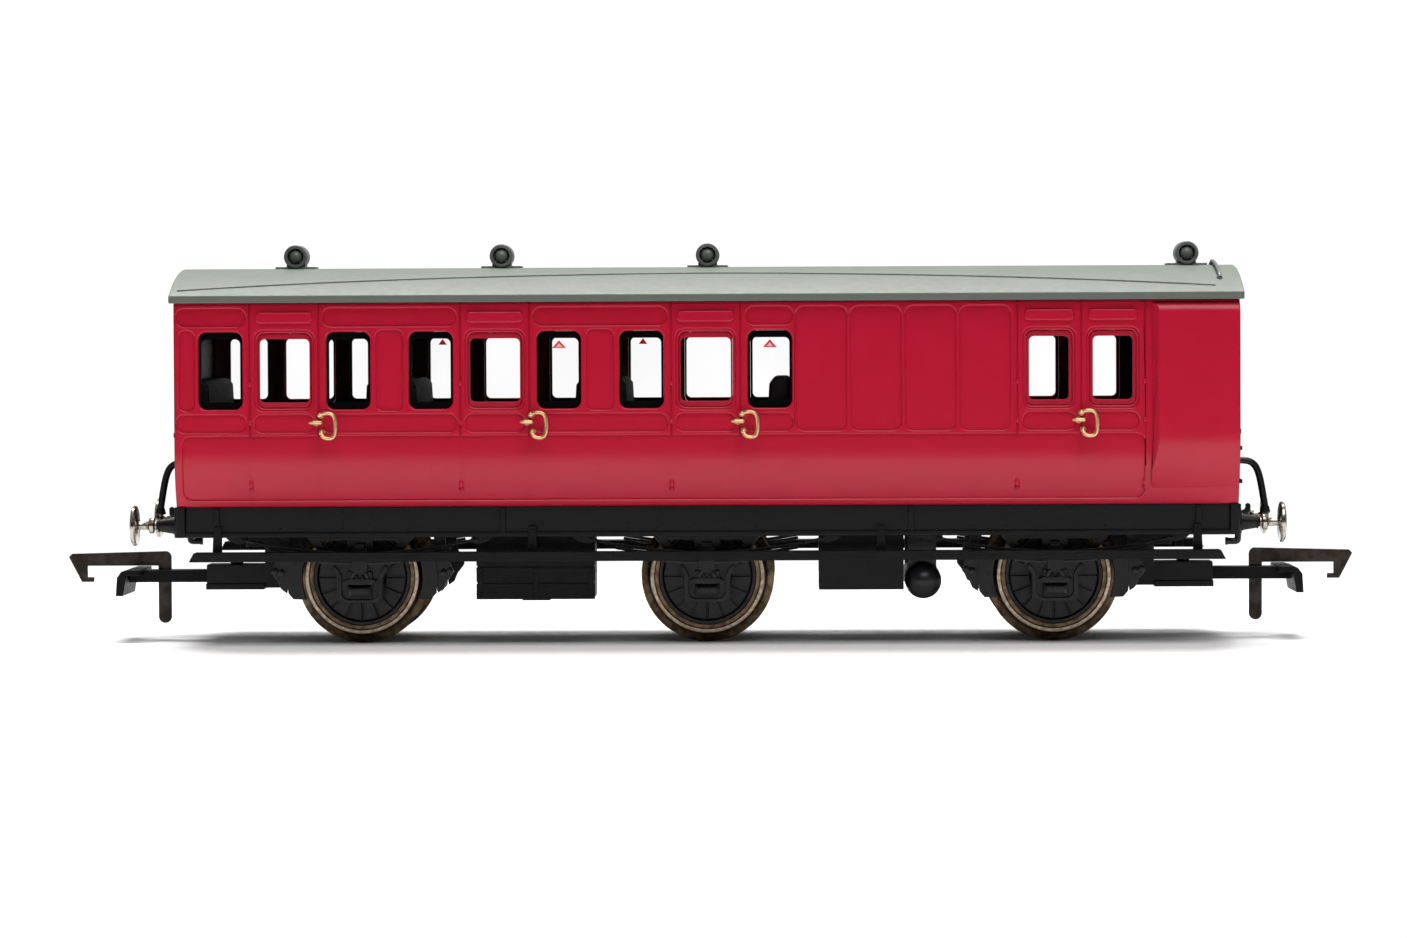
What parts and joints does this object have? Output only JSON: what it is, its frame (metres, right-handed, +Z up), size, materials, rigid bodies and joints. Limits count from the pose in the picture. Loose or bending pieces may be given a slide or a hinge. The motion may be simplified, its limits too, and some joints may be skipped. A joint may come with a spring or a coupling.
{
  "type": "scale model six-wheel brake third passenger coach",
  "caption": "Ready-to-run scale model of a panelled six-wheel passenger coach with a guard's compartment, turning wheels and lifting hook couplings.",
  "frame": {"origin": "middle of the coach between its sides and its coupling hooks, on the plane that the wheel flanges stand on", "axes": "+X to the guard's end, -Y to the near side, +Z up"},
  "size_m": [0.1584, 0.035, 0.0486],
  "materials": {
    "crimson_body": "satin, printed lining none",
    "roof_grey": "matt",
    "black_plastic": "satin",
    "window_black": "satin",
    "droplight_red": "satin",
    "clear_glazing": "gloss",
    "steel_ballast": "bare",
    "seat_brown": "matt",
    "brass_handles": "polished",
    "blackened_nickel": "dark polished",
    "bright_nickel": "polished",
    "wheel_black": "satin"
  },
  "bodies": {
    "coach": {"near_side": "crimson_body", "far_side": "crimson_body", "compartment_end": "black_plastic", "guards_end": "black_plastic", "near_ducket": "crimson_body", "far_ducket": "crimson_body", "roof": "roof_grey", "roof_ventilators": "black_plastic", "roof_handrail": "black_plastic", "window_frames": "window_black", "droplight_frames": "droplight_red", "near_glazing": "clear_glazing", "far_glazing": "clear_glazing", "chassis_plate": "black_plastic", "end_stretchers": "black_plastic", "ballast_weight": "steel_ballast", "interior_floor": "seat_brown", "partitions": "seat_brown", "seats": "seat_brown", "door_handles": "brass_handles", "grab_handles": "brass_handles", "near_solebar": "black_plastic", "far_solebar": "black_plastic", "near_footboard": "black_plastic", "far_footboard": "black_plastic", "near_axleguards": "black_plastic", "far_axleguards": "black_plastic", "near_springs": "black_plastic", "far_springs": "black_plastic", "headstocks": "black_plastic", "buffer_housings": "black_plastic", "buffers": "bright_nickel", "draw_hooks": "blackened_nickel", "brake_pipes": "black_plastic", "steam_pipes": "black_plastic", "battery_box": "black_plastic", "equipment_box": "black_plastic", "gas_cylinder": "black_plastic", "brake_gear": "black_plastic", "coupling_pockets": "black_plastic", "coupling_bars": "black_plastic"},
    "compartment_wheels": {"compartment_wheelset": "blackened_nickel", "compartment_wheel_centres": "wheel_black"},
    "middle_wheels": {"middle_wheelset": "blackened_nickel", "middle_wheel_centres": "wheel_black"},
    "guards_wheels": {"guards_wheelset": "blackened_nickel", "guards_wheel_centres": "wheel_black"},
    "compartment_coupling": {"compartment_hook": "blackened_nickel"},
    "guards_coupling": {"guards_hook": "blackened_nickel"}
  },
  "joints": [
    {"name": "compartment_wheels_turn", "type": "hinge", "parent": "coach", "child": "compartment_wheels", "pos_m": [-0.042, 0, 0.0081], "axis": [0, 1, 0], "continuous": true},
    {"name": "middle_wheels_turn", "type": "hinge", "parent": "coach", "child": "middle_wheels", "pos_m": [0, 0, 0.0081], "axis": [0, 1, 0], "continuous": true},
    {"name": "guards_wheels_turn", "type": "hinge", "parent": "coach", "child": "guards_wheels", "pos_m": [0.042, 0, 0.0081], "axis": [0, 1, 0], "continuous": true},
    {"name": "compartment_hook_lift", "type": "hinge", "parent": "coach", "child": "compartment_coupling", "pos_m": [-0.0674, 0, 0.0079], "axis": [0, 1, 0], "range_deg": [0, 20]},
    {"name": "guards_hook_lift", "type": "hinge", "parent": "coach", "child": "guards_coupling", "pos_m": [0.0674, 0, 0.0079], "axis": [0, -1, 0], "range_deg": [0, 20]}
  ]
}
